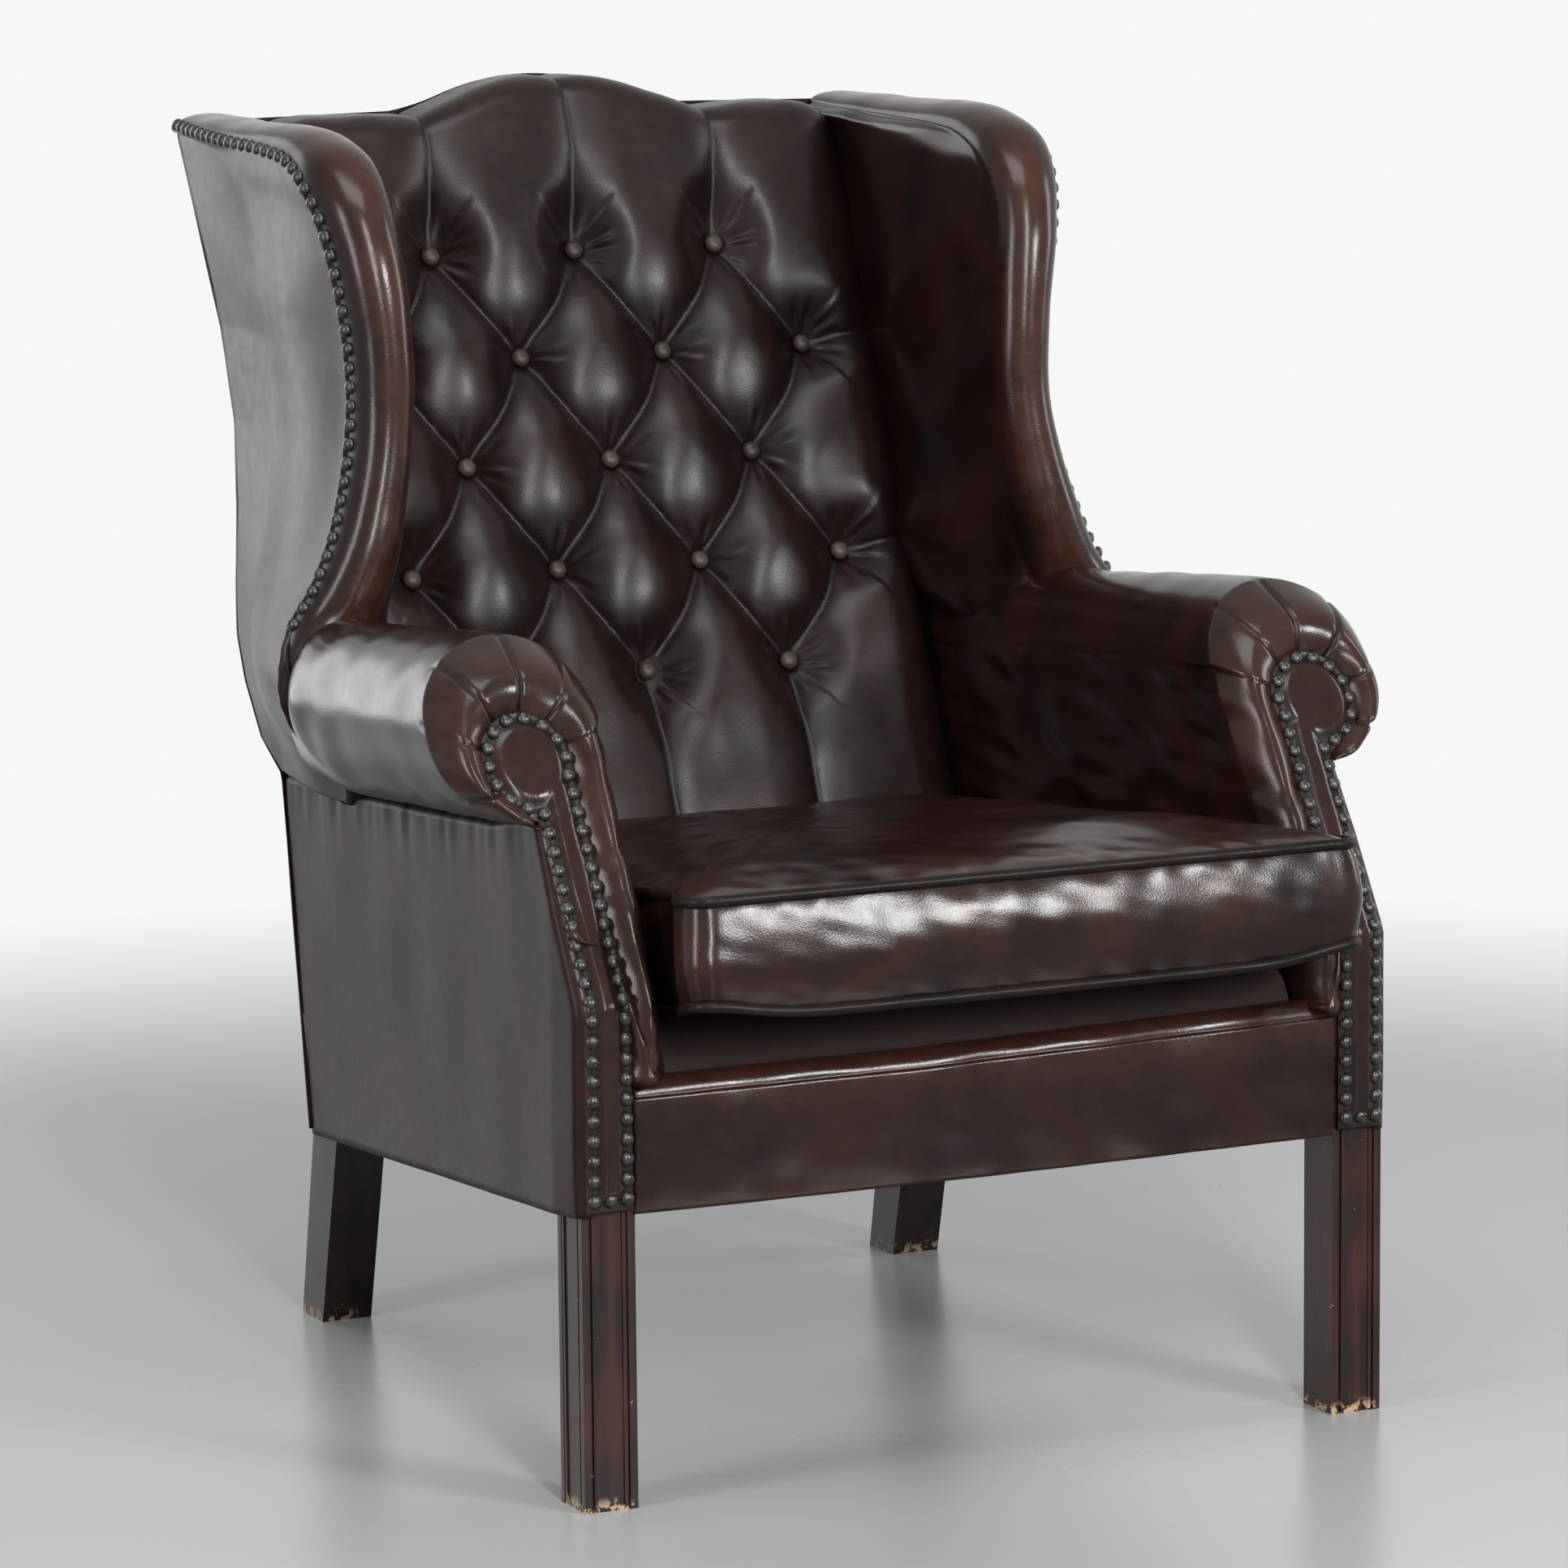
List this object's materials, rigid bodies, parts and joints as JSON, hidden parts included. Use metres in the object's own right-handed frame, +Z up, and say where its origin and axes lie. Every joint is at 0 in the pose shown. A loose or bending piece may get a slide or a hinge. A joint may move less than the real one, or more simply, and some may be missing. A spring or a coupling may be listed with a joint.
{
  "type": "chesterfield wing chair",
  "caption": "Wing armchair with a deep-buttoned leaning back, rolled arms with nailed facings, square moulded front legs and a loose piped seat cushion.",
  "frame": {"origin": "on the floor under the middle of the whole chair's bounding box", "axes": "+Z up; -Y the way the sitter faces; +X the sitter's left"},
  "size_m": [0.8472, 1.0004, 1.078],
  "materials": {
    "leather": "glossy hand-rubbed antique oxblood leather, lighter brown on rubbed edges, near black in the folds",
    "dark_leather": "dark piping leather, glossy",
    "button_leather": "worn brown leather over button domes",
    "mahogany": "dark reddish stained and polished, worn pale at the foot edges",
    "frame_wood": "unfinished beech, hidden under the upholstery",
    "webbing": "woven jute",
    "spring_steel": "coppered spring wire",
    "hessian": "plain woven jute cloth",
    "black_cambric": "thin black dust cover cloth",
    "deck_cloth": "dark brown platform cloth over stuffing"
  },
  "bodies": {
    "chair": {"arm_facing_left": "leather", "arm_facing_right": "leather", "arm_pad_left": "leather", "arm_pad_right": "leather", "arm_rail_left": "frame_wood", "arm_rail_right": "frame_wood", "arm_stump_left": "frame_wood", "arm_stump_right": "frame_wood", "back_buttons": "button_leather", "back_pad": "leather", "back_webbing": "webbing", "corner_blocks": "frame_wood", "crest_rail": "frame_wood", "dust_cover": "black_cambric", "front_border": "leather", "front_leg_left": "mahogany", "front_leg_right": "mahogany", "front_seat_rail": "frame_wood", "lower_back_rail": "frame_wood", "outside_arm_cover_left": "leather", "outside_arm_cover_right": "leather", "outside_back": "leather", "outside_wing_cover_left": "leather", "outside_wing_cover_right": "leather", "rear_leg_left": "mahogany", "rear_leg_right": "mahogany", "rear_seat_rail": "frame_wood", "seat_deck": "deck_cloth", "seat_hessian": "hessian", "seat_springs": "spring_steel", "seat_webbing": "webbing", "side_seat_rail_left": "frame_wood", "side_seat_rail_right": "frame_wood", "wing_pad_left": "leather", "wing_pad_right": "leather", "wing_rail_left": "frame_wood", "wing_rail_right": "frame_wood", "wing_stile_left": "frame_wood", "wing_stile_right": "frame_wood"},
    "cushion": {"seat_cushion": "leather", "cushion_piping": "dark_leather"}
  },
  "joints": [
    {"name": "cushion_lift", "type": "slide", "parent": "chair", "child": "cushion", "axis": [0, 0, 1], "range_m": [0, 0.7]}
  ]
}
